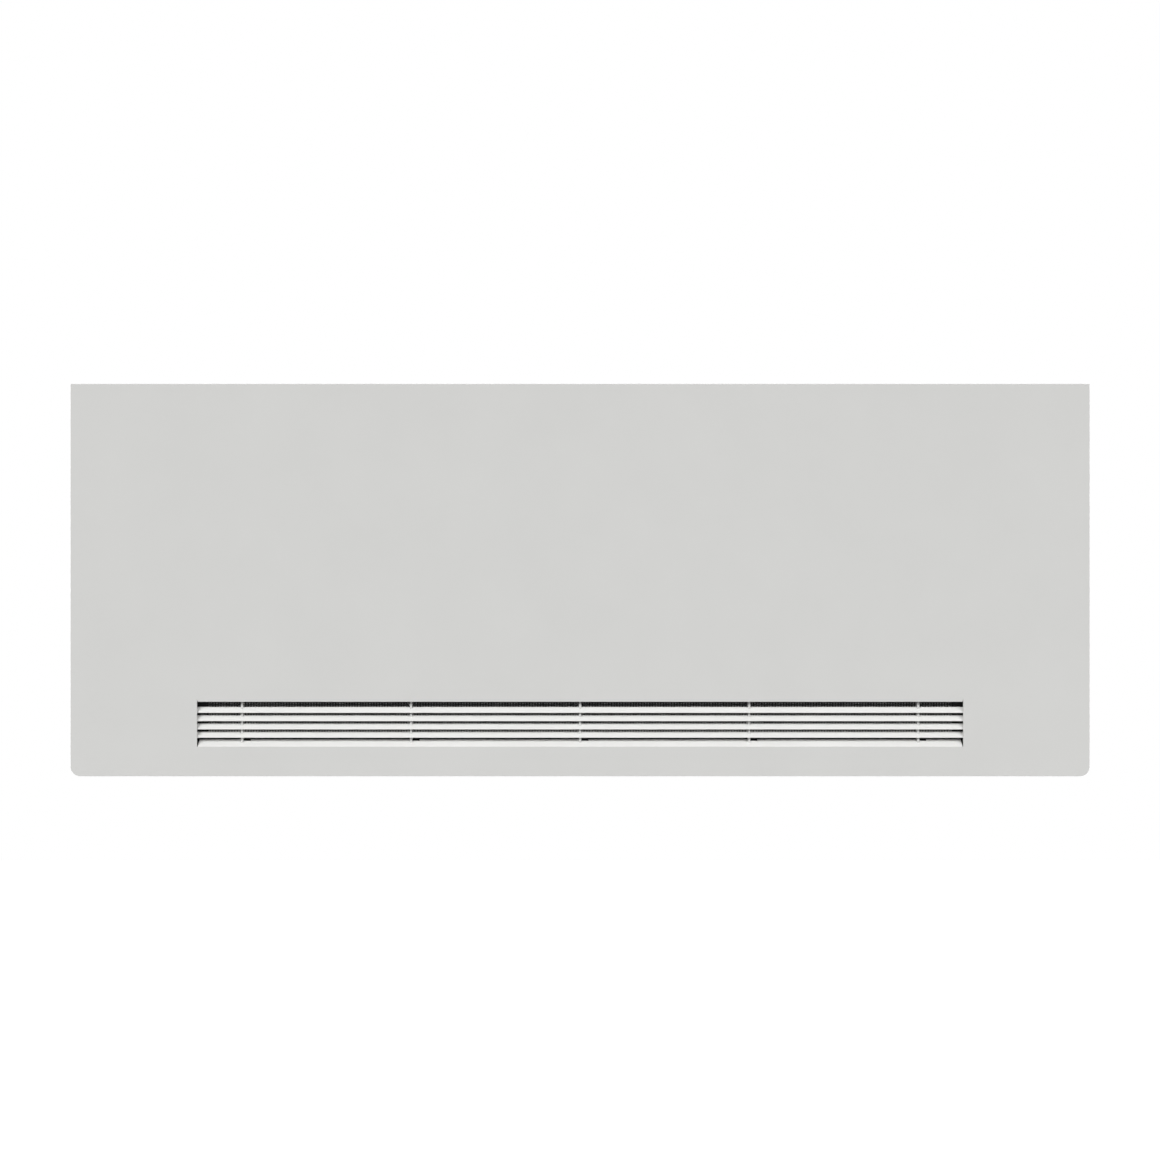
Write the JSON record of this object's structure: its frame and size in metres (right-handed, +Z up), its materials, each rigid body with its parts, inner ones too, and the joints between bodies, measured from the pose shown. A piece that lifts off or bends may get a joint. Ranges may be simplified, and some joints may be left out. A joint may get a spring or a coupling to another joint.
{
  "type": "panel radiator",
  "caption": "Low surface temperature panel radiator: fluted steel water panels inside a flat sheet casing with a low louvred inlet and a drop-down front panel.",
  "frame": {"origin": "middle of the four wall holes of the radiator brackets, on the wall plane", "axes": "+X along the wall, +Y into the wall, so the front faces -Y, +Z up"},
  "size_m": [1, 0.145, 0.3868],
  "materials": {
    "casing_paint": "light grey powder coat, fine texture, satin",
    "louvre_paint": "white powder coat, satin",
    "mesh_wire": "dark grey coated wire",
    "guard_frame": "dark grey coat, matt",
    "galvanised_steel": "galvanised sheet, dull spangle",
    "zinc_plate": "bright zinc plate",
    "radiator_enamel": "white baked enamel, semi gloss",
    "nickel": "nickel plated brass",
    "brass": "machined brass",
    "white_plastic": "moulded white plastic",
    "dark_plastic": "moulded dark plastic",
    "magnet": "sintered ferrite",
    "rubber": "black rubber",
    "sensor_shell": "drawn capsule"
  },
  "bodies": {
    "casing": {"hinge_fixed_leaf_left": "zinc_plate", "hinge_fixed_leaf_right": "zinc_plate", "hinge_pin_left": "zinc_plate", "hinge_pin_right": "zinc_plate", "hinge_screws": "zinc_plate", "side_panel_left": "casing_paint", "side_panel_right": "casing_paint", "top_cover": "casing_paint", "bottom_plate": "casing_paint", "outlet_frame": "guard_frame", "outlet_mesh": "mesh_wire", "outlet_ribs": "casing_paint", "outlet_blades": "louvre_paint", "casing_screws": "zinc_plate", "catch_left": "dark_plastic", "catch_right": "dark_plastic", "catch_magnets": "magnet", "panel_buffers": "rubber", "wall_rail_upper": "galvanised_steel", "wall_rail_lower": "galvanised_steel", "wall_bracket_left": "galvanised_steel", "wall_bracket_right": "galvanised_steel", "bracket_saddles": "white_plastic", "water_panel_front": "radiator_enamel", "water_panel_rear": "radiator_enamel", "convector_fins": "radiator_enamel", "hanging_lugs": "radiator_enamel", "tee_supply": "radiator_enamel", "tee_return": "radiator_enamel", "tee_vent": "radiator_enamel", "tee_blank": "radiator_enamel", "trv_body": "nickel", "trv_bonnet": "brass", "lockshield_body": "nickel", "lockshield_bonnet": "brass", "lockshield_cap": "white_plastic", "valve_tails": "nickel", "union_nuts": "nickel", "pipe_nuts": "nickel", "pipe_olives": "brass", "vent_plug": "brass", "blank_plug": "brass", "plug_seals": "rubber"},
    "front": {"front_panel": "casing_paint", "inlet_sill": "louvre_paint", "inlet_frame": "guard_frame", "inlet_mesh": "mesh_wire", "inlet_ribs": "casing_paint", "inlet_blade_1": "louvre_paint", "inlet_blade_2": "louvre_paint", "inlet_blade_3": "louvre_paint", "inlet_blade_4": "louvre_paint", "hinge_moving_leaf_left": "zinc_plate", "hinge_moving_leaf_right": "zinc_plate", "strike_plates": "zinc_plate"},
    "head": {"trv_head": "white_plastic", "trv_sensor": "sensor_shell"},
    "pin": {"trv_pin": "nickel"},
    "spindle": {"lockshield_spindle": "brass"},
    "vent": {"vent_screw": "brass"}
  },
  "joints": [
    {"name": "front_panel_drop", "type": "hinge", "parent": "casing", "child": "front", "pos_m": [0, -0.1398, -0.1853], "axis": [1, 0, 0], "range_deg": [0, 90]},
    {"name": "trv_head_turn", "type": "hinge", "parent": "casing", "child": "head", "pos_m": [0.448, -0.065, -0.09], "axis": [0, 0, -1], "range_deg": [0, 300]},
    {"name": "trv_pin_travel", "type": "slide", "parent": "casing", "child": "pin", "axis": [0, 0, -1], "range_m": [0, 0.0025]},
    {"name": "lockshield_turn", "type": "hinge", "parent": "casing", "child": "spindle", "pos_m": [-0.448, -0.065, -0.09], "axis": [0, 0, -1], "range_deg": [0, 720]},
    {"name": "vent_screw_turn", "type": "hinge", "parent": "casing", "child": "vent", "pos_m": [-0.4, -0.065, 0.128], "axis": [-1, 0, 0], "range_deg": [0, 360]}
  ],
  "couplings": [
    {"joint": "trv_pin_travel", "follows": "trv_head_turn", "m_per_rad": 0.000477}
  ]
}
